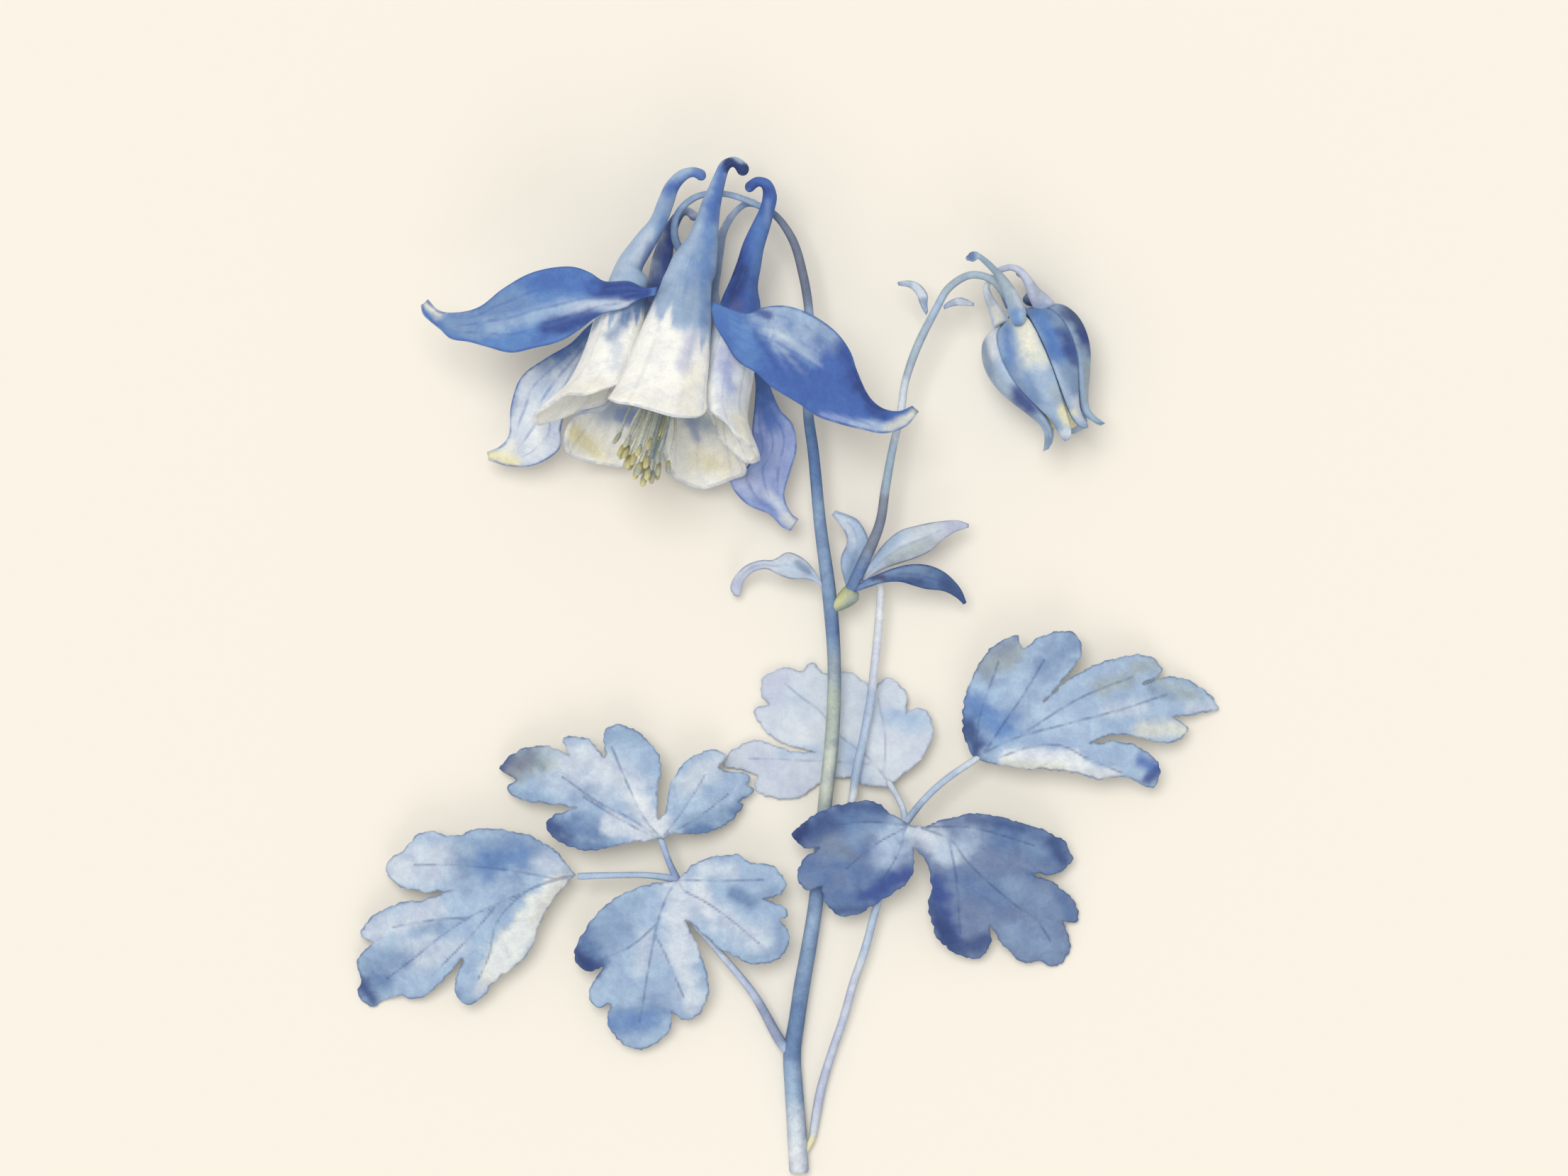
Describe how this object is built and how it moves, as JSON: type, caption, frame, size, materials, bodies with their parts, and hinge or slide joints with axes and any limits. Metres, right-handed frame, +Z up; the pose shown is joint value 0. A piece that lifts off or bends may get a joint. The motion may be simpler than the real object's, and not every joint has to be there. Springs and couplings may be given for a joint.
{
  "type": "columbine sprig",
  "caption": "A cut columbine sprig lying down: a nodding flower with spurred petals and spread sepals, a closed bud, bracts and lobed leaves on one slim stem.",
  "frame": {"origin": "on the surface that the sprig lies on, under the middle of its overall box", "axes": "+Z up from the surface; +Y along the sprig, from the stem's cut end to the flower; +X to the right seen from above"},
  "size_m": [0.1219, 0.1435, 0.0318],
  "materials": {
    "stem": "watercolour blue with a green-grey stretch, matte",
    "sheath": "yellow-green, matte",
    "stalk": "pale lavender grey, matte",
    "leaf": "blue washes from pale to deep, darker at the edge, matte",
    "dark_leaf": "indigo washes with pale places at the base, matte",
    "pale_leaf": "very pale lavender blue with a fine grey edge, matte",
    "bract": "pale grey blue, matte",
    "dark_bract": "deep blue, matte",
    "petal": "blue spur that fades to a white and cream blade, satin",
    "dark_petal": "dark indigo spur over a pale blade, satin",
    "sepal": "cobalt to periwinkle with light streaks, satin",
    "bud": "blue and indigo with cream places, satin",
    "stamen": "olive yellow, matte",
    "pistil": "pale cream green, matte"
  },
  "bodies": {
    "root": {"main_stem": "stem", "bud_stem": "stalk", "branch_sheath": "sheath", "back_stalk": "stalk", "left_leaf_stalk": "stalk", "right_leaf_stalk": "stalk", "left_leaflet_top": "leaf", "left_leaflet_outer": "leaf", "left_leaflet_front": "leaf", "right_leaflet_front": "dark_leaf", "right_leaflet_back": "pale_leaf", "right_leaflet_outer": "leaf", "bract_left": "bract", "bract_upper": "bract", "bract_right_pale": "bract", "bract_right_dark": "dark_bract", "bractlet_left": "bract", "bractlet_right": "bract", "petal_front": "petal", "petal_left": "petal", "petal_right": "dark_petal", "petal_back_left": "dark_petal", "petal_back_right": "petal", "sepal_left": "sepal", "sepal_right": "sepal", "sepal_lower_left": "sepal", "sepal_lower_right": "sepal", "sepal_behind": "sepal", "stamens": "stamen", "pistils": "pistil", "bud_sepal_1": "bud", "bud_sepal_2": "bud", "bud_sepal_3": "bud", "bud_sepal_4": "bud", "bud_sepal_5": "bud", "bud_petal_1": "petal", "bud_petal_2": "petal", "bud_petal_3": "petal", "bud_petal_4": "petal", "bud_petal_5": "petal", "bud_heart": "pistil"}
  },
  "joints": []
}
